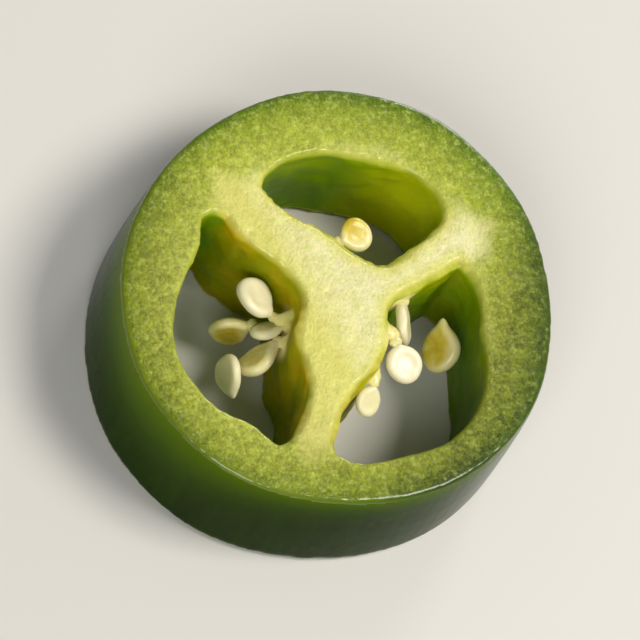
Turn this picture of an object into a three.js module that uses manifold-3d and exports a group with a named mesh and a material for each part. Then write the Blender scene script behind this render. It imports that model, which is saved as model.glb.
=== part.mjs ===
// A thick ring cut across a green chilli pepper of the jalapeño kind, lying on its lower cut face.
//
// The ring is one grown piece: the fleshy wall with its skin, and the pale placenta, whose three arms
// join it to the wall and leave three open chambers. Flat round seeds hang in the chambers, each on a
// short stalk (its funicle) that grows out of the placenta. Two seeds have come loose.
//
// Millimetres, +Z up and along the pod. Everything is drawn about the pod's axis, and the last lines
// move it so that the origin is at the middle of the lower cut face.
import * as THREE from "three";
import { mergeVertices } from "three/addons/utils/BufferGeometryUtils.js";
import Module from "manifold-3d";

const wasm = await Module();
wasm.setup();

// ---- driving dimensions ----

const RING_THICKNESS = 10; // from knife cut to knife cut
const POD_TAPER = 0.02; // how much wider the lower cut is than the upper one, as a share
const POD_BELLY = 0.006; // how far the side bows out at mid height, as a share of the radius

// The skin's distance from the pod's axis, every 30 degrees from +X towards +Y.
const SKIN_RADII = [17.2, 17.9, 18.1, 17.1, 15.9, 15.7, 16.4, 17.5, 17.9, 17.3, 17.2, 17.2];

// The three chambers on the upper cut face, each an outline of [x, y] that runs anticlockwise.
const CHAMBERS = {
  left: [
    [-2.4, -0.5], [-4.1, 2.0], [-6.8, 3.9], [-8.1, 5.8], [-9.6, 5.6], [-10.2, 3.2], [-11.4, 0.4],
    [-12.6, -3.4], [-12.2, -6.8], [-10.0, -10.0], [-6.8, -11.6], [-5.1, -13.0], [-3.3, -11.2],
    [-2.3, -7.7], [-3.0, -4.3],
  ],
  upper: [
    [9.2, 6.9], [8.9, 8.8], [6.8, 10.6], [3.2, 11.4], [-0.8, 11.5], [-3.6, 10.3], [-5.0, 8.6],
    [-3.5, 6.6], [-0.4, 5.0], [1.9, 3.1], [4.3, 2.5], [6.8, 4.4],
  ],
  right: [
    [10.2, 3.3], [8.2, 2.0], [5.4, 0.3], [4.2, -0.9], [3.8, -3.9], [2.6, -6.2], [1.0, -8.0], [-0.4, -10.2],
    [-1.0, -13.0], [0.3, -13.9], [4.2, -13.3], [8.6, -11.3], [11.1, -7.7], [11.5, -3.0], [11.3, 1.7],
  ],
};

const SEED_RADIUS = 1.55;
const SEED_BEAK = 0.45; // how far the pointed end, where the stalk joins, stands out of the round
const SEED_THICKNESS = 1.0;
const SEED_RIM = 0.4; // how far in the rounded rim reaches

// Each seed lies flat in its own frame, with its beak along +Y. tilt turns it about X, Y and Z, in
// degrees, Z first. root is where its stalk leaves the placenta; a loose seed has none.
const SEEDS = [
  { name: "seed_left_top", at: [-5.3, 0.4, 7.0], tilt: [-5, 22, 222], size: 1.08, root: [-2.1, -1.2, 7.5] },
  { name: "seed_left_edge", at: [-4.2, -1.6, 5.7], tilt: [-42, -18, 259], size: 0.78, root: [-2.0, -1.7, 6.0] },
  { name: "seed_left_far", at: [-6.4, -0.7, 3.5], tilt: [86, -7, -63], size: 1.0, root: [-2.2, -0.9, 3.2] },
  { name: "seed_left_lower", at: [-5.0, -4.0, 5.4], tilt: [-40, -41, 271], size: 1.1, root: [-2.3, -3.0, 6.6] },
  { name: "seed_left_below", at: [-7.1, -5.1, 5.0], tilt: [34, -71, 194], size: 0.95 },
  { name: "seed_upper", at: [2.5, 5.5, 8.5], tilt: [11, 8, 127], size: 0.88, root: [0.5, 3.0, 8.3] },
  { name: "seed_right_edge", at: [5.9, -1.5, 7.8], tilt: [10, 64, -3], size: 1.0, root: [5.2, 1.5, 8.6] },
  { name: "seed_right_round", at: [5.4, -5.1, 8.6], tilt: [22, 4, 11], size: 0.96, root: [3.8, -2.2, 8.9] },
  { name: "seed_right_low", at: [2.8, -7.8, 7.4], tilt: [35, 12, -25], size: 0.74, root: [2.7, -5.0, 8.6] },
  { name: "seed_loose", at: [9.8, -1.8, 4.9], tilt: [27, -45, 8], size: 1.1 },
];

const STALK_RADIUS_AT_ROOT = 0.6;
const STALK_RADIUS_AT_SEED = 0.38;
const GAP = 0.3; // what is left between a stalk's end and its seed

// How finely curves are drawn.
const SKIN_POINTS = 96;
const CHAMBER_POINTS = 44;
const RING_LAYERS = 4;
const SEED_POINTS = 18;

// ---- materials ----

const flesh = new THREE.MeshStandardMaterial({ name: "flesh", color: "#93a63c", roughness: 0.45 });
const seedCoat = new THREE.MeshStandardMaterial({ name: "seed coat", color: "#f1e6ac", roughness: 0.4 });

// ---- the ring ----

// A smooth closed line through [x, y] points, as count points that lie evenly along it.
function closedLine(points, count) {
  const through = points.map(([x, y]) => new THREE.Vector3(x, y, 0));
  const curve = new THREE.CatmullRomCurve3(through, true, "centripetal");
  return curve
    .getSpacedPoints(count)
    .slice(0, count)
    .map(({ x, y }) => new THREE.Vector2(x, y));
}

const skinLine = closedLine(
  SKIN_RADII.map((radius, i) => {
    const angle = (i / SKIN_RADII.length) * 2 * Math.PI;
    return [radius * Math.cos(angle), radius * Math.sin(angle)];
  }),
  SKIN_POINTS,
);

// Gives an upright extrusion the pod's taper and belly, by scaling each level about the axis.
function shapeAsPod(geometry) {
  const position = geometry.getAttribute("position");
  for (let i = 0; i < position.count; i++) {
    const height = position.getZ(i) / RING_THICKNESS;
    const scale = 1 + POD_TAPER * (1 - height) + POD_BELLY * 4 * height * (1 - height);
    position.setXY(i, position.getX(i) * scale, position.getY(i) * scale);
  }
  return geometry;
}

function ringGeometry() {
  const face = new THREE.Shape(skinLine);
  face.holes = Object.values(CHAMBERS).map((outline) => new THREE.Path(closedLine(outline, CHAMBER_POINTS)));
  const options = { depth: RING_THICKNESS, steps: RING_LAYERS, bevelEnabled: false };
  return shapeAsPod(new THREE.ExtrudeGeometry(face, options));
}

// ---- the seeds ----

// A flat disc with a beak at +Y and a rounded rim, centred on its own middle.
function seedGeometry() {
  const beakWidth = 0.36; // radians
  const outline = [];
  for (let i = 0; i < SEED_POINTS; i++) {
    const angle = (i / SEED_POINTS) * 2 * Math.PI;
    const fromBeak = Math.abs(Math.PI / 2 - angle) % (2 * Math.PI);
    const aside = Math.min(fromBeak, 2 * Math.PI - fromBeak);
    const radius = SEED_RADIUS + SEED_BEAK * Math.exp(-((aside / beakWidth) ** 2));
    outline.push(new THREE.Vector2(radius * Math.cos(angle), radius * Math.sin(angle)));
  }
  const flat = 0.3; // the thickness of the straight part of the rim
  const rounding = (SEED_THICKNESS - flat) / 2;
  return new THREE.ExtrudeGeometry(new THREE.Shape(outline), {
    depth: flat,
    bevelThickness: rounding,
    bevelSize: SEED_RIM,
    bevelOffset: -SEED_RIM,
    bevelSegments: 2,
  }).translate(0, 0, -flat / 2);
}

function seedMesh({ name, at, tilt, size }) {
  const mesh = new THREE.Mesh(seedGeometry(), seedCoat);
  mesh.name = name;
  mesh.position.set(...at);
  mesh.rotation.set(...tilt.map(THREE.MathUtils.degToRad));
  mesh.scale.setScalar(size);
  mesh.updateMatrix();
  return mesh;
}

// A tapered stalk from its root in the placenta to just short of the seed's beak.
function stalkGeometry(root, seed) {
  const start = new THREE.Vector3(...root);
  const beak = new THREE.Vector3(0, SEED_RADIUS + SEED_BEAK, 0).applyMatrix4(seed.matrix);
  const along = beak.clone().sub(start);
  const length = along.length() - GAP;
  along.normalize();
  const stalk = new THREE.CylinderGeometry(STALK_RADIUS_AT_SEED, STALK_RADIUS_AT_ROOT, length, 8);
  stalk.translate(0, length / 2, 0);
  stalk.applyQuaternion(new THREE.Quaternion().setFromUnitVectors(new THREE.Vector3(0, 1, 0), along));
  return stalk.translate(...start);
}

// ---- joining the stalks to the ring ----

function solidOf(geometry) {
  const bare = geometry.clone();
  bare.deleteAttribute("normal");
  bare.deleteAttribute("uv");
  const merged = mergeVertices(bare, 1e-4);
  return new wasm.Manifold(
    new wasm.Mesh({
      numProp: 3,
      vertProperties: merged.getAttribute("position").array,
      triVerts: Uint32Array.from(merged.index.array),
    }),
  );
}

function geometryOf(solid) {
  const { vertProperties, triVerts } = solid.getMesh();
  const geometry = new THREE.BufferGeometry();
  geometry.setAttribute("position", new THREE.BufferAttribute(vertProperties, 3));
  geometry.setIndex(new THREE.BufferAttribute(triVerts, 1));
  geometry.computeVertexNormals();
  return geometry;
}

const seeds = SEEDS.map(seedMesh);
let ring = solidOf(ringGeometry());
SEEDS.forEach(({ root }, i) => {
  if (root) ring = ring.add(solidOf(stalkGeometry(root, seeds[i])));
});
const slice = new THREE.Mesh(geometryOf(ring), flesh);
slice.name = "pepper_slice";

// ---- the whole slice, with its origin at the middle of the lower cut face ----

const pepper = new THREE.Group();
pepper.add(slice, ...seeds);
const middle = new THREE.Box3().setFromObject(slice).getCenter(new THREE.Vector3());
pepper.position.set(-middle.x, -middle.y, 0);

export default pepper;
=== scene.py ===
"""A thick ring cut across a green chilli pepper, lying on its lower cut face on a pale table."""

import math

import bmesh
import bpy
import numpy as np
from mathutils import Matrix, Vector, noise
from mathutils.bvhtree import BVHTree


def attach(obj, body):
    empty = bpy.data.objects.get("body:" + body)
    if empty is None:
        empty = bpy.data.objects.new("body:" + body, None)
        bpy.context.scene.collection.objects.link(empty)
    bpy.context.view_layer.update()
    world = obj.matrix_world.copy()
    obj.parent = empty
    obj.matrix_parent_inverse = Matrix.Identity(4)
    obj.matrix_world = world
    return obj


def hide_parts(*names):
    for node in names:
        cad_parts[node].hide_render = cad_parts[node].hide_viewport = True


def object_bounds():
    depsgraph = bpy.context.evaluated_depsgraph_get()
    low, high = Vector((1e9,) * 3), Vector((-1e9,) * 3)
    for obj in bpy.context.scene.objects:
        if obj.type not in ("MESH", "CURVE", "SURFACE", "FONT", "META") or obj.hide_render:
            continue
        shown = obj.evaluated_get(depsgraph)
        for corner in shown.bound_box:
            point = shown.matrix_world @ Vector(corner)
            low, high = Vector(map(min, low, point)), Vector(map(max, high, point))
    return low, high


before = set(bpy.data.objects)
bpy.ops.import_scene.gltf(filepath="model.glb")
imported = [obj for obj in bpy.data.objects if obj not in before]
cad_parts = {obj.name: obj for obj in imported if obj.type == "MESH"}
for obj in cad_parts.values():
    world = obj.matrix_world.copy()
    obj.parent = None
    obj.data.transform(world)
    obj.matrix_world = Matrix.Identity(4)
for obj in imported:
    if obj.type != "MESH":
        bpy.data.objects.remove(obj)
cad_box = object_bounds()
MM = 0.001


# ---- The slice: skin, wall and placenta ----
# One grown piece: the glossy skin, the juicy wall under it, and the pale spongy placenta in the
# middle, whose three arms meet the wall and leave three chambers with a glossy lining. A sharp knife
# cut it straight across, so both cut faces are flat, wet and grainy with opened cells.

GRAIN_OF_MESH = 0.212 * MM  # the distance between the points of the remeshed slice
RING_THICKNESS = (cad_box[1].z - cad_box[0].z) / MM  # in millimetres, from cut to cut
SKIN_FROM_AXIS = 15.0 * MM  # side faces further out than this are skin, and the rest line a chamber
SKIN_FROM_CUT = 0.2 * MM  # where the skin starts below a cut
MERGE_DISTANCE = 0.001 * MM
UPRIGHT = 0.5  # a side face's normal rises less than this, where 1 is straight up
UPRIGHT_WHEN_SMOOTHED = 0.6  # the same beside the slice's rounded edges
CUT_FLESH, SKIN, LINING = 0, 1, 2  # the order of the slice's materials
STALK_END = 0.38 * MM  # the swollen end of a stalk, where its seed sits
PLACENTA_MIDDLE = Vector((0.8, 0.0))  # in millimetres, as seen from above
ARM_ANGLES = [math.radians(degrees) for degrees in (29, 138, 255)]  # where its three arms point
SEEDS = sorted(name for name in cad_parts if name.startswith("seed_"))
LOOSE_SEEDS = ("seed_loose", "seed_left_below")
DRAWN_DISC, DRAWN_BEAK = 1.55, 0.45  # a CAD seed's radius, and how far its beak stands out of it


def merged_copy(node):
    """A CAD node's shape with its loose triangles joined up."""
    shape = bmesh.new()
    shape.from_mesh(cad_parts[node].data)
    bmesh.ops.remove_doubles(shape, verts=shape.verts, dist=MERGE_DISTANCE)
    return shape


def seed_place(node):
    """Turns and moves a seed's own frame, disc in XY and beak towards +Y, to where the CAD seed is.
    Its scale makes the disc's radius 1."""
    shape = merged_copy(node)
    points = np.array([vert.co for vert in shape.verts])
    shape.free()
    middle = points.mean(axis=0)
    _, _, axes = np.linalg.svd(points - middle)
    normal = Vector(axes[2])
    if normal.z < 0:
        normal.negate()
    tip = Vector(max(points - middle, key=np.linalg.norm))
    beak = (tip - normal * tip.dot(normal)).normalized()
    along = [beak.dot(Vector(point)) for point in points]
    length = max(along) - min(along)
    radius = length * DRAWN_DISC / (2 * DRAWN_DISC + DRAWN_BEAK)
    centre = Vector(middle) + beak * (min(along) + radius - beak.dot(Vector(middle)))
    turn = Matrix((beak.cross(normal), beak, normal)).transposed().to_4x4()
    return Matrix.Translation(centre) @ turn @ Matrix.Scale(radius, 4)


def new_piece(name, shape):
    """A finished bmesh as an object of that name."""
    mesh = bpy.data.meshes.new(name)
    shape.to_mesh(mesh)
    shape.free()
    piece = bpy.data.objects.new(name, mesh)
    bpy.context.scene.collection.objects.link(piece)
    return piece


def remesh(piece, grain):
    """Replaces a piece's mesh by even quads, which joins everything that overlaps in it."""
    voxels = piece.modifiers.new("even quads", "REMESH")
    voxels.mode = "VOXEL"
    voxels.voxel_size = grain
    voxels.use_smooth_shade = True
    shown = piece.evaluated_get(bpy.context.evaluated_depsgraph_get())
    mesh = bpy.data.meshes.new_from_object(shown)
    piece.modifiers.clear()
    piece.data = mesh


def smooth_steps(mesh, times):
    """Rounds off the small steps that the voxels leave, and every sharp edge with them."""
    shape = bmesh.new()
    shape.from_mesh(mesh)
    for _ in range(times):
        bmesh.ops.smooth_vert(
            shape, verts=shape.verts, factor=0.5, use_axis_x=True, use_axis_y=True, use_axis_z=True
        )
    shape.to_mesh(mesh)
    shape.free()


def surface_tree(shape, wanted):
    """The faces of shape for which wanted is true, ready for distances."""
    points = [vert.co for vert in shape.verts]
    faces = [[vert.index for vert in face.verts] for face in shape.faces if wanted(face)]
    return BVHTree.FromPolygons(points, faces)


def is_side(face):
    return abs(face.normal.z) < UPRIGHT


def is_skin(face):
    return is_side(face) and face.calc_center_median().to_2d().length > SKIN_FROM_AXIS


def is_lining(face):
    return is_side(face) and not is_skin(face)


def add_number(mesh, name, values):
    """Stores one number for each vertex, for the material to read."""
    mesh.attributes.new(name, "FLOAT", "POINT").data.foreach_set("value", values)


def step(low, high, x):
    """0 below low, 1 above high, and smooth between."""
    t = min(max((x - low) / (high - low), 0.0), 1.0)
    return t * t * (3 - 2 * t)


def lump(p, size):
    """Soft noise from about -1 to 1 whose bumps are size millimetres across."""
    return noise.noise(p / size)


def cell(p, size):
    """Domed cells about size millimetres across: 1 on top of a cell and about 0 between them."""
    return 1 - noise.voronoi(p / size)[0][0] * 1.4


def off_the_arms(p):
    """How far a point is from the middle line of the nearest arm, in millimetres."""
    out = p.to_2d() - PLACENTA_MIDDLE
    arms = [Vector((math.cos(angle), math.sin(angle))) for angle in ARM_ANGLES]
    return min((out - arm * max(out.dot(arm), 0)).length for arm in arms)


def placenta_share(p, skin):
    """0 in the green wall and 1 in the pale placenta, whose arms reach furthest out in their middle and
    fade into the wall."""
    start = 5.9 - 2.4 * math.exp(-((off_the_arms(p) / 1.7) ** 2))
    return step(start - 1.6, start + 1.5, skin + 0.9 * lump(p, 1.6) + 0.3 * lump(p, 0.6))


def rounded_edge(distance, radius):
    """How far an edge rounded to that radius drops at a distance from the wall that it meets."""
    return radius * (1 - math.sqrt(1 - max(1 - distance / radius, 0) ** 2))


def cut_face_level(p, skin, lining, core):
    """How far the wet cut face lies below the knife's plane, in millimetres."""
    shrunk_from_skin = 0.12 * (1 - math.exp(-skin / 0.25)) * math.exp(-skin / 1.6)
    torn = 0.12 * lump(p, 0.7) * math.exp(-lining / 0.6)
    edges = rounded_edge(skin, 0.35) + rounded_edge(lining, 0.3 + 0.1 * core)
    waves = 0.08 + 0.06 * lump(p, 3.5)
    flesh = 0.06 - 0.06 * cell(p, 0.8)
    sponge = 0.12 - 0.1 * cell(p, 1.4) + 0.06 * lump(p, 0.7)
    pit = 0.25 * step(0.75, 0.95, cell(p + Vector((7, 3, 0)), 2.1))
    return shrunk_from_skin + edges + waves + torn + flesh * (1 - core) + (sponge + pit) * core


def wall_swell(p, skin, core):
    """How far a chamber's lining or the skin stands proud of its drawn line, in millimetres."""
    if skin < 0.5:
        return 0.06 * lump(Vector((p.x, p.y, p.z * 0.4)), 6.0)
    lining = 0.15 * lump(Vector((p.x, p.y, p.z * 0.5)), 2.4)
    placenta = 0.2 + 0.26 * lump(p, 2.0) + 0.1 * lump(p, 0.9)
    return lining * (1 - core) + placenta * core


def sculpt_slice(mesh, skin_tree, lining_tree, stalk_ends):
    """Gives the even mesh its cut faces, lumps and lining, and stores what the materials read."""
    skins, linings, cores, stalks, places = [], [], [], [], []
    for vert in mesh.vertices:
        skin = skin_tree.find_nearest(vert.co)[3] / MM
        lining = lining_tree.find_nearest(vert.co)[3] / MM
        p, n = vert.co / MM, vert.normal
        core = placenta_share(p, skin)
        on_wall = 1 - step(0.3, 0.8, abs(n.z))
        p_new = p + n * wall_swell(p, skin, core) * on_wall
        # Each cut face sinks a little, less and less down to 1.6 mm below the cut.
        above_middle = p.z > RING_THICKNESS / 2
        from_cut = RING_THICKNESS - p.z if above_middle else p.z
        drop = cut_face_level(p, skin, lining, core) * (1 - step(0.1, 1.6, from_cut))
        p_new.z = max(p_new.z - drop if above_middle else p_new.z + drop, 0.0)
        skins.append(skin)
        linings.append(lining)
        cores.append(core)
        to_seed = min((vert.co - end).length for end in stalk_ends) / MM
        stalks.append(1 - step(0.9, 1.7, to_seed))
        places.append(p_new * MM)
    for vert, place in zip(mesh.vertices, places):
        vert.co = place
    add_number(mesh, "skin_depth", skins)
    add_number(mesh, "lining_depth", linings)
    add_number(mesh, "placenta", cores)
    add_number(mesh, "stalk", stalks)


def mark_surfaces(mesh):
    """Sorts the even mesh's faces into cut flesh, skin and chamber lining. The skin starts at the same
    row of faces all round, just below the cut edge."""
    for face in mesh.polygons:
        from_cut = min(face.center.z, cad_box[1].z - face.center.z)
        if face.center.to_2d().length > SKIN_FROM_AXIS:
            face.material_index = SKIN if from_cut > SKIN_FROM_CUT else CUT_FLESH
        else:
            face.material_index = LINING if abs(face.normal.z) < UPRIGHT_WHEN_SMOOTHED else CUT_FLESH


drawn = merged_copy("pepper_slice")
skin_tree = surface_tree(drawn, is_skin)
lining_tree = surface_tree(drawn, is_lining)
tip_of_beak = Vector((0, 1 + DRAWN_BEAK / DRAWN_DISC, 0))
stalk_ends = [seed_place(name) @ tip_of_beak for name in SEEDS if name not in LOOSE_SEEDS]
for end in stalk_ends:
    bmesh.ops.create_icosphere(drawn, subdivisions=3, radius=STALK_END, matrix=Matrix.Translation(end))
slice_piece = new_piece("pepper_flesh", drawn)
remesh(slice_piece, GRAIN_OF_MESH)
smooth_steps(slice_piece.data, times=3)
mark_surfaces(slice_piece.data)
sculpt_slice(slice_piece.data, skin_tree, lining_tree, stalk_ends)


def linear(hex_colour):
    """An sRGB hex colour as linear RGBA."""
    parts = [int(hex_colour[i : i + 2], 16) / 255 for i in (1, 3, 5)]
    return [c / 12.92 if c <= 0.04045 else ((c + 0.055) / 1.055) ** 2.4 for c in parts] + [1]


def new_material(name, finish):
    """A material with its nodes and its Principled shader, whose own inputs are set as finish says."""
    material = bpy.data.materials.new(name)
    material.use_nodes = True
    shader = material.node_tree.nodes["Principled BSDF"]
    for key, value in finish.items():
        shader.inputs[key].default_value = value
    return material, material.node_tree, shader


def add_node(tree, kind, settings, *values, **inputs):
    """Adds a node. settings are its own properties, with a ramp's colours under stops. Its inputs follow
    in order or by name, each a value, or a socket or node to link from."""
    node = tree.nodes.new(kind)
    for key, value in settings.items():
        if key == "stops":
            for _ in value[2:]:
                node.color_ramp.elements.new(0.5)
            for element, (position, colour) in zip(node.color_ramp.elements, value):
                element.position, element.color = position, linear(colour)
        else:
            setattr(node, key, value)
    sockets = [socket for socket in node.inputs if socket.enabled]
    wanted = [*zip(sockets, values), *((node.inputs[name], value) for name, value in inputs.items())]
    for socket, value in wanted:
        if isinstance(value, bpy.types.Node):
            value = next(output for output in value.outputs if output.enabled)
        if isinstance(value, bpy.types.NodeSocket):
            tree.links.new(value, socket)
        else:
            socket.default_value = value
    return node


def object_mm(tree):
    """A point's place on its object in millimetres."""
    place = add_node(tree, "ShaderNodeTexCoord", {}).outputs["Object"]
    return add_node(tree, VECTORS, {"operation": "SCALE"}, place, 1000)


# The kinds of node that the materials use most, and the arithmetic that they do. A RANGE takes a value,
# the two ends that it runs between, and what they become. A pattern's Scale is 1 over its size in
# millimetres.
MATH, VECTORS, RANGE = "ShaderNodeMath", "ShaderNodeVectorMath", "ShaderNodeMapRange"
NOISE, RAMP, MIX = "ShaderNodeTexNoise", "ShaderNodeValToRGB", "ShaderNodeMix"
PLUS, MINUS, TIMES = {"operation": "ADD"}, {"operation": "SUBTRACT"}, {"operation": "MULTIPLY"}
LOWER_OF, TOWARDS, COLOURS = {"operation": "MINIMUM"}, {"operation": "DOT_PRODUCT"}, {"data_type": "RGBA"}


def flesh_colour(tree):
    """Deep green under the skin, paler and yellower further in, cream in the placenta, and clear green or
    painted ochre on the lining, with painted light and shade in places. Also returns where cells are cut
    open, 0 to 1, and the height of their grain."""
    skin, lining, core, stalk = (
        add_node(tree, "ShaderNodeAttribute", {"attribute_name": name}).outputs["Fac"]
        for name in ("skin_depth", "lining_depth", "placenta", "stalk")
    )
    in_mm = object_mm(tree)
    x, y, z = add_node(tree, "ShaderNodeSeparateXYZ", {}, in_mm).outputs

    # Blotches 1.4 mm across push the colour zones in and out. The zones sit lighter towards the lower left
    # and greener towards the upper right: partly the pod's own colour, partly painted shade.
    blotch = add_node(tree, NOISE, {}, in_mm, Scale=1 / 1.43, Detail=5, Roughness=0.7)
    uneven = add_node(tree, RANGE, {}, blotch, 0.3, 0.7, 0.78, 1.22)
    to_green_side = add_node(tree, VECTORS, TOWARDS, in_mm, (0.9, 0.44, 0))
    greener = add_node(tree, RANGE, {}, to_green_side, -14, 14, 1.35, 0.7)
    light_start = add_node(tree, RANGE, {}, to_green_side, -14, 2, 0.5, 0)
    depth = add_node(tree, MATH, PLUS, add_node(tree, MATH, TIMES, skin, uneven), light_start)
    depth = add_node(tree, MATH, TIMES, depth, greener)
    # Along 10 mm inwards from the skin.
    from_skin = {
        "stops": [
            (0.0, "#567004"),
            (0.02, "#506c04"),
            (0.05, "#607a0a"),
            (0.1, "#7e9118"),
            (0.2, "#98a62c"),
            (0.35, "#aab43a"),
            (0.6, "#bac04e"),
        ]
    }
    wall = add_node(tree, RAMP, from_skin, add_node(tree, MATH, TIMES, depth, 0.1))
    # Along 1.6 mm inwards from a chamber, and yellower away from the green side and in the arms' ends.
    from_chamber = {"stops": [(0.0, "#d0cc64"), (0.2, "#dad676"), (0.5, "#e4e098"), (1.0, "#e9e5b0")]}
    inwards = add_node(tree, MATH, TIMES, add_node(tree, MATH, TIMES, lining, uneven), 0.62)
    yellower = add_node(tree, RANGE, {}, to_green_side, -3, 1.5, 0.2, 1)
    paleness = add_node(tree, MATH, LOWER_OF, inwards, add_node(tree, MATH, TIMES, uneven, yellower))
    in_arm = add_node(tree, RANGE, {}, skin, 2.8, 6, 0.25, 1)
    paleness = add_node(tree, MATH, LOWER_OF, paleness, in_arm)
    placenta = add_node(tree, RAMP, from_chamber, paleness)
    cut_colour = add_node(tree, MIX, COLOURS, core, wall, placenta)

    # The lining is green on the wall and painted ochre on the placenta, in patches 3.5 mm across: the ochre
    # is painted shade and light bounced from the walls onto its cream. Painted light and shade: it is
    # lighter near the upper cut and darker deeper down, and lighter and yellower beyond the upper chamber.
    # It is greener again on the green side.
    patch = add_node(tree, NOISE, {}, in_mm, Scale=1 / 3.57, Detail=2)
    lit_near_upper_cut = add_node(tree, RANGE, {}, z, 6, 9.6)
    shaded_green = add_node(tree, RAMP, {"stops": [(0.35, "#5c8400"), (0.65, "#6c8c00")]}, patch)
    lit_green = add_node(tree, RAMP, {"stops": [(0.35, "#86a800"), (0.65, "#98b004")]}, patch)
    green = add_node(tree, MIX, COLOURS, lit_near_upper_cut, shaded_green, lit_green)
    to_upper_right = add_node(tree, VECTORS, TOWARDS, in_mm, (0.75, 0.66, 0))
    lit_upper_right = add_node(tree, RANGE, {}, to_upper_right, 9, 12)
    # Painted light: the lining beyond the upper chamber is lighter and yellower.
    green = add_node(tree, MIX, COLOURS, lit_upper_right, green, linear("#c0c808"))
    shaded_ochre = add_node(tree, RAMP, {"stops": [(0.4, "#7a8200"), (0.6, "#8c8200")]}, patch)
    lit_ochre = add_node(tree, RAMP, {"stops": [(0.4, "#b4b008"), (0.6, "#dab60a")]}, patch)
    ochre = add_node(tree, MIX, COLOURS, lit_near_upper_cut, shaded_ochre, lit_ochre)
    on_placenta = add_node(tree, RANGE, {}, core, 0.6, 1)
    off_green_side = add_node(tree, RANGE, {}, to_green_side, -1, 3, 1, 0.2)
    ochre_share = add_node(tree, MATH, TIMES, on_placenta, off_green_side)
    lining_colour = add_node(tree, MIX, COLOURS, ochre_share, green, ochre)
    from_middle = add_node(tree, MATH, MINUS, z, RING_THICKNESS / 2)
    from_middle = add_node(tree, MATH, {"operation": "ABSOLUTE"}, from_middle)
    away_from_cut = add_node(tree, RANGE, {}, from_middle, 4.2, 4.8, 1, 0)
    on_lining = add_node(tree, RANGE, {}, lining, 0.05, 0.3, 1, 0)
    on_lining = add_node(tree, MATH, TIMES, on_lining, away_from_cut)
    colour = add_node(tree, MIX, COLOURS, on_lining, cut_colour, lining_colour)
    colour = add_node(tree, MIX, COLOURS, stalk, colour, linear("#efe694"))

    # Opened cells about 0.25 mm across, each lighter or darker, with finer grain, and pale flecks about
    # 0.5 mm across. The lining, the skin's edge and the stalks have none.
    cells = add_node(
        tree, "ShaderNodeTexVoronoi", {"feature": "SMOOTH_F1"}, in_mm, Scale=1 / 0.25, Smoothness=0.7
    )
    grain = add_node(tree, NOISE, {}, in_mm, Scale=1 / 0.25, Detail=4, Roughness=0.75)
    off_lining = add_node(tree, RANGE, {}, lining, 0.05, 0.35, 0.15, 1)
    off_skin = add_node(tree, RANGE, {}, skin, 0.1, 0.5)
    off_stalk = add_node(tree, MATH, MINUS, 1.0, stalk)
    opened = add_node(tree, MATH, TIMES, add_node(tree, MATH, TIMES, off_lining, off_skin), off_stalk)
    flecks = add_node(tree, NOISE, {}, in_mm, Scale=1 / 0.526, Detail=4, Roughness=0.7)
    fleck_share = add_node(tree, RANGE, {}, flecks, 0.5, 0.66, 0, 0.5)
    fleck_share = add_node(tree, MATH, TIMES, fleck_share, opened)
    colour = add_node(tree, MIX, COLOURS, fleck_share, colour, linear("#c8d468"))
    cell_tone = add_node(tree, RANGE, {}, cells.outputs["Color"], 0.25, 0.75, -0.13, 0.13)
    grain_tone = add_node(tree, RANGE, {}, grain, 0.35, 0.65, -0.15, 0.13)
    blotch_tone = add_node(tree, RANGE, {}, blotch, 0.35, 0.65, -0.12, 0.04)
    tone = add_node(tree, MATH, PLUS, add_node(tree, MATH, PLUS, cell_tone, grain_tone), blotch_tone)
    in_wall = add_node(tree, RANGE, {}, core, 0, 1, 1, 0.3)
    tone_share = add_node(tree, MATH, TIMES, opened, in_wall)

    # Painted shade: the wall is darker towards the lower right, where it is thinnest, and towards the front
    # and the left.
    to_lower_right = add_node(tree, VECTORS, TOWARDS, in_mm, (0.9, -0.44, 0))
    painted_right_shade = add_node(tree, RANGE, {}, to_lower_right, 8, 13, 1, 0.6)
    painted_left_shade = add_node(tree, RANGE, {}, x, -14, -9, 0.74, 1)
    painted_front_shade = add_node(tree, RANGE, {}, y, -14.5, -9, 0.8, 1)
    painted_shade_tone = add_node(tree, MATH, TIMES, add_node(tree, MATH, TIMES, painted_left_shade, painted_right_shade), painted_front_shade)
    tone = add_node(tree, MATH, {"operation": "MULTIPLY_ADD"}, tone, tone_share, painted_shade_tone)
    domes = add_node(tree, RANGE, {}, cells.outputs["Distance"], 0.1, 0.6, 1, 0)
    height = add_node(tree, MATH, TIMES, add_node(tree, MATH, PLUS, domes, grain), opened)
    return add_node(tree, VECTORS, {"operation": "SCALE"}, colour, tone), opened, height


def cut_flesh_material():
    """Fresh green pepper, cut and wet: the juice on the opened cells glitters, its film shines along the
    uncut edges, and light goes a millimetre or so in."""
    finish = {
        "Coat Roughness": 0.1,
        "IOR": 1.38,
        "Specular IOR Level": 0.3,
        "Subsurface Weight": 0.4,
        "Subsurface Radius": (0.9, 1.0, 0.2),
        "Subsurface Scale": 1.3 * MM,
    }
    material, tree, shader = new_material("fresh green pepper, cut", finish)
    colour, opened, height = flesh_colour(tree)
    bump = add_node(tree, "ShaderNodeBump", {}, Strength=0.8, Distance=0.06 * MM, Height=height)
    roughness = add_node(tree, RANGE, {}, opened, 0, 1, 0.3, 0.36)
    juice = add_node(tree, RANGE, {}, opened, 0, 1, 0.8, 0.2)
    tree.links.new(colour.outputs["Vector"], shader.inputs["Base Color"])
    tree.links.new(bump.outputs["Normal"], shader.inputs["Normal"])
    tree.links.new(roughness.outputs["Result"], shader.inputs["Roughness"])
    tree.links.new(juice.outputs["Result"], shader.inputs["Coat Weight"])
    return material


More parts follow.
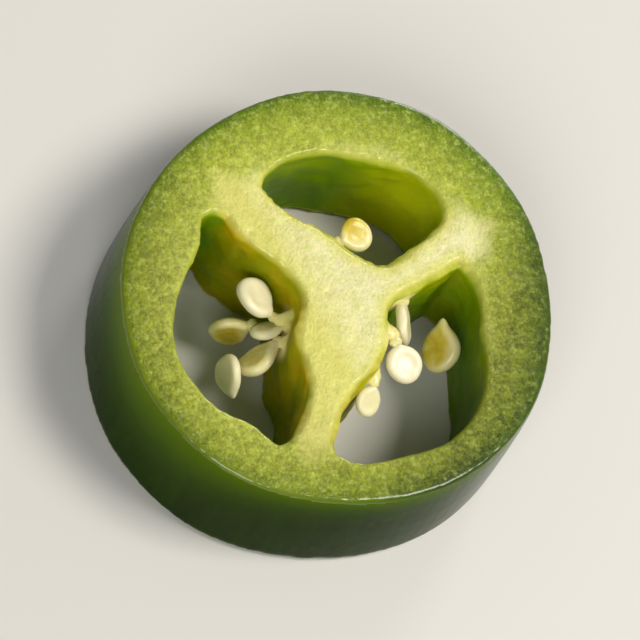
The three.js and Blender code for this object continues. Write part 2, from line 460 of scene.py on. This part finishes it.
def lining_material():
    """The inside skin of a chamber: uncut, smooth and satiny, so its green and ochre stay clear."""
    finish = {
        "Roughness": 0.35,
        "IOR": 1.38,
        "Specular IOR Level": 0.08,
        "Specular Tint": linear("#d0e070"),
        "Subsurface Weight": 0.5,
        "Subsurface Radius": (0.8, 1.0, 0.05),
        "Subsurface Scale": 1.5 * MM,
    }
    material, tree, shader = new_material("smooth pepper lining", finish)
    colour, _, _ = flesh_colour(tree)
    tree.links.new(colour.outputs["Vector"], shader.inputs["Base Color"])
    return material


def skin_material():
    """The waxy skin of a green pod: deep green, smooth and glossy, with faint paler flecks that are
    drawn out along the pod. Light from the upper cut glows through its edge."""
    finish = {
        "Roughness": 0.2,
        "IOR": 1.4,
        "Specular IOR Level": 0.08,
        "Specular Tint": linear("#c0dc68"),
        "Subsurface Weight": 0.15,
        "Subsurface Radius": (0.6, 1.0, 0.1),
        "Subsurface Scale": 0.8 * MM,
    }
    material, tree, shader = new_material("waxy green pepper skin", finish)
    in_mm = object_mm(tree)
    x, y, z = add_node(tree, "ShaderNodeSeparateXYZ", {}, in_mm).outputs
    # Flecks 1.4 mm across and five times as long.
    along = add_node(tree, "ShaderNodeMapping", {}, in_mm, Scale=(1, 1, 0.2))
    flecks = add_node(tree, NOISE, {}, along, Scale=1 / 1.43, Detail=6, Roughness=0.65)
    # Painted light and shade: lighter along 10 mm downwards from the upper cut, as light glowing through the
    # cut edge, darker further down, and less than half as far on the right.
    from_cut = {
        "stops": [
            (0.0, "#647e04"),
            (0.1, "#587202"),
            (0.22, "#4a6400"),
            (0.38, "#365000"),
            (0.6, "#284000"),
            (1.0, "#203600"),
        ]
    }
    below_cut = add_node(tree, MATH, MINUS, RING_THICKNESS, z)
    sooner_dark = add_node(tree, RANGE, {}, x, -12, 0, 1, 2.4)
    below_cut = add_node(tree, MATH, TIMES, below_cut, sooner_dark)
    below_cut = add_node(tree, MATH, PLUS, below_cut, add_node(tree, RANGE, {}, flecks, 0.3, 0.7, -1.2, 1.2))
    colour = add_node(tree, RAMP, from_cut, add_node(tree, MATH, TIMES, below_cut, 0.1))
    fleck_tone = add_node(tree, RANGE, {}, flecks, 0.3, 0.7, 0.62, 1.2)
    # Painted shade: the skin is darker towards the front.
    painted_front_shade = add_node(tree, RANGE, {}, y, -17, -8, 0.8, 1)
    tone = add_node(tree, MATH, TIMES, fleck_tone, painted_front_shade)
    colour = add_node(tree, VECTORS, {"operation": "SCALE"}, colour, tone)
    tree.links.new(colour.outputs["Vector"], shader.inputs["Base Color"])
    # Shallow dimples 0.9 mm across.
    dimples = add_node(tree, NOISE, {}, in_mm, Scale=1 / 0.909, Detail=2)
    bump = add_node(tree, "ShaderNodeBump", {}, Strength=0.3, Distance=0.05 * MM, Height=dimples)
    tree.links.new(bump.outputs["Normal"], shader.inputs["Normal"])
    return material


slice_piece.data.materials.append(cut_flesh_material())
slice_piece.data.materials.append(skin_material())
slice_piece.data.materials.append(lining_material())
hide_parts("pepper_slice")
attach(slice_piece, "root")


# ---- The seeds ----
# Flat cream discs 3 to 4 mm across with a thick pale rim, a thinner middle that lets the light
# through, and a small beak where the stalk joins. Fresh seeds have a smooth, slightly sticky coat.

SEED_HALF_THICKNESS = 0.32  # of the disc's radius, at the rim
# Each seed's width and the length of its beak as shares of the disc, how tan its middle is, and how far
# towards its right or left the tan lies. The tan is partly the thin middle's own colour and partly painted
# shade: it is stronger on seeds that lie in shade and moved towards their shaded side.
SEED_FORMS = {
    "seed_left_top": (0.94, 0.22, 0.0, 0.0),
    "seed_left_edge": (1.0, 0.3, 0.2, 0.0),
    "seed_left_far": (1.0, 0.28, 1.0, 0.0),
    "seed_left_lower": (0.92, 0.36, 0.6, 0.1),
    "seed_left_below": (1.0, 0.3, 0.1, 0.0),
    "seed_upper": (0.98, 0.24, 1.0, 0.4),
    "seed_right_edge": (1.0, 0.3, 0.1, 0.0),
    "seed_right_round": (0.97, 0.16, 0.0, 0.0),
    "seed_right_low": (0.92, 0.22, 0.15, 0.0),
    "seed_loose": (0.96, 0.5, 1.0, -0.2),
}


def seed_outline(angle, beak_length, number):
    """A seed's radius at that angle from its beak, where the disc's is about 1."""
    beak = beak_length * (0.6 * math.exp(-((angle / 0.2) ** 2)) + 0.4 * math.exp(-((angle / 0.6) ** 2)))
    uneven = 0.03 * math.cos(2 * angle + number) + 0.02 * math.cos(3 * angle - 2 * number)
    return 1 + beak + uneven


def seed_point(p, width, beak_length, number):
    """Moves a point of a unit ball to its place on the seed."""
    out = min(math.hypot(p.x, p.y), 1.0)
    radius = out * seed_outline(math.atan2(p.x, p.y), beak_length, number)
    rim = 0.82 + 0.18 * step(0.35, 0.85, out)
    thinner_beak = 1 - 0.3 * step(1.0, 1.35, radius)
    height = SEED_HALF_THICKNESS * rim * thinner_beak * max(1 - out**6, 0) ** 0.5
    across = Vector((p.x, p.y)).normalized() * radius if out else Vector((0, 0))
    bend = 0.09 * (across.x**2 - 0.4 * across.y**2) * math.cos(3 * number)
    dent = 0.03 * lump(Vector((p.x, p.y, 5 * number)), 0.5)
    return Vector((across.x * width, across.y, math.copysign(height, p.z) + bend + dent))


def seed_material():
    """The smooth, tough coat of a fresh seed: cream, with a faint net of cells, and tan where the middle is
    thin, with painted tan shade on shaded seeds and their shaded side. Light goes well into it."""
    finish = {
        "Roughness": 0.36,
        "IOR": 1.45,
        "Subsurface Weight": 0.5,
        "Subsurface Radius": (1.0, 0.8, 0.4),
        "Subsurface Scale": 0.8 * MM,
        "Coat Weight": 0.3,
        "Coat Roughness": 0.15,
    }
    material, tree, shader = new_material("fresh seed coat", finish)
    tan = add_node(tree, "ShaderNodeAttribute", {"attribute_name": "tan"}).outputs["Fac"]
    in_mm = object_mm(tree)
    # Blotches 0.8 mm across.
    blotch = add_node(tree, NOISE, {}, in_mm, Scale=1 / 0.833, Detail=3)
    from_cream = {"stops": [(0.0, "#f0e7c0"), (0.15, "#eade9a"), (0.4, "#dac74c"), (0.65, "#c8ae1e")]}
    colour = add_node(tree, RAMP, from_cream, add_node(tree, MATH, TIMES, tan, blotch))
    tree.links.new(colour.outputs["Color"], shader.inputs["Base Color"])
    # The net's cells are about 0.1 mm in life, and drawn at 0.16 mm so that they show.
    net = add_node(tree, "ShaderNodeTexVoronoi", {"feature": "DISTANCE_TO_EDGE"}, in_mm, Scale=1 / 0.1667)
    bump = add_node(tree, "ShaderNodeBump", {}, Strength=0.35, Distance=0.03 * MM, Height=net)
    tree.links.new(bump.outputs["Normal"], shader.inputs["Normal"])
    return material


seed_coat = seed_material()
for number, name in enumerate(SEEDS):
    ball = bmesh.new()
    bmesh.ops.create_icosphere(ball, subdivisions=6, radius=1)
    width, beak_length, tan, aside = SEED_FORMS[name]
    # The tan, partly the thin middle's own colour and partly painted shade, fades out towards the rim.
    from_tan = [math.hypot(vert.co.x - aside, vert.co.y) for vert in ball.verts]
    tans = [tan * (1 - 0.7 * step(0.4, 0.95, distance)) for distance in from_tan]
    for vert in ball.verts:
        vert.co = seed_point(vert.co, width, beak_length, number)
    bmesh.ops.transform(ball, matrix=seed_place(name), verts=ball.verts)
    for face in ball.faces:
        face.smooth = True
    seed = new_piece(name.replace("seed_", "grown_seed_"), ball)
    add_number(seed.data, "tan", tans)
    seed.data.materials.append(seed_coat)
    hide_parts(name)
    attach(seed, "root")


# ---- The table, the light and the camera ----
# A pale matt table under a soft lamp above on the right, with a wider one in front on the left that
# shines into the chambers, and a small one behind that draws a line along the cut edge.

TABLE_WIDTH = 2.0
top = bmesh.new()
bmesh.ops.create_grid(top, x_segments=1, y_segments=1, size=TABLE_WIDTH / 2)
table = new_piece("table", top)


def table_material():
    """Pale matt paper-like board."""
    return new_material("pale matt board", {"Base Color": linear("#d9d7d1"), "Roughness": 0.7})[0]


table.data.materials.append(table_material())

middle = Vector((0, 0, RING_THICKNESS / 2 * MM))


def add_lamp(name, towards, distance, size, power, colour):
    """A square soft lamp in that direction from the slice, facing it."""
    light = bpy.data.lights.new(name, "AREA")
    light.size = size
    light.energy = power
    light.color = linear(colour)[:3]
    lamp = bpy.data.objects.new(name, light)
    lamp.location = middle + Vector(towards).normalized() * distance
    lamp.rotation_euler = Vector(towards).to_track_quat("Z", "Y").to_euler()
    bpy.context.scene.collection.objects.link(lamp)


add_lamp("key lamp", (0.5, -0.14, 0.85), distance=0.5, size=0.2, power=1.95, colour="#fffaf2")
add_lamp("fill lamp", (-0.35, -0.7, 0.62), distance=0.6, size=0.3, power=1.6, colour="#ffffff")
add_lamp("rim lamp", (0.5, 0.82, 0.28), distance=0.6, size=0.15, power=1.0, colour="#ffffff")

world = bpy.data.worlds.new("soft room")
world.use_nodes = True
background = world.node_tree.nodes["Background"]
background.inputs["Color"].default_value = linear("#e8e8e6")
background.inputs["Strength"].default_value = 0.22
bpy.context.scene.world = world
bpy.context.scene.view_settings.view_transform = "Standard"

# The camera starts straight above with +Y up in the picture, and swings 32 degrees towards -X -Y.
CAMERA_SWING = math.radians(32)
CAMERA_SWING_AXIS = Vector((0.829, -0.559, 0))
CAMERA_DISTANCE = 0.4
CAMERA_LENS = 300  # in millimetres
camera_data = bpy.data.cameras.new("camera")
camera_data.lens = CAMERA_LENS
camera = bpy.data.objects.new("camera", camera_data)
turn = Matrix.Rotation(CAMERA_SWING, 4, CAMERA_SWING_AXIS)
camera.matrix_world = Matrix.Translation(middle) @ turn @ Matrix.Translation((0, 0, CAMERA_DISTANCE))
bpy.context.scene.collection.objects.link(camera)
bpy.context.scene.camera = camera
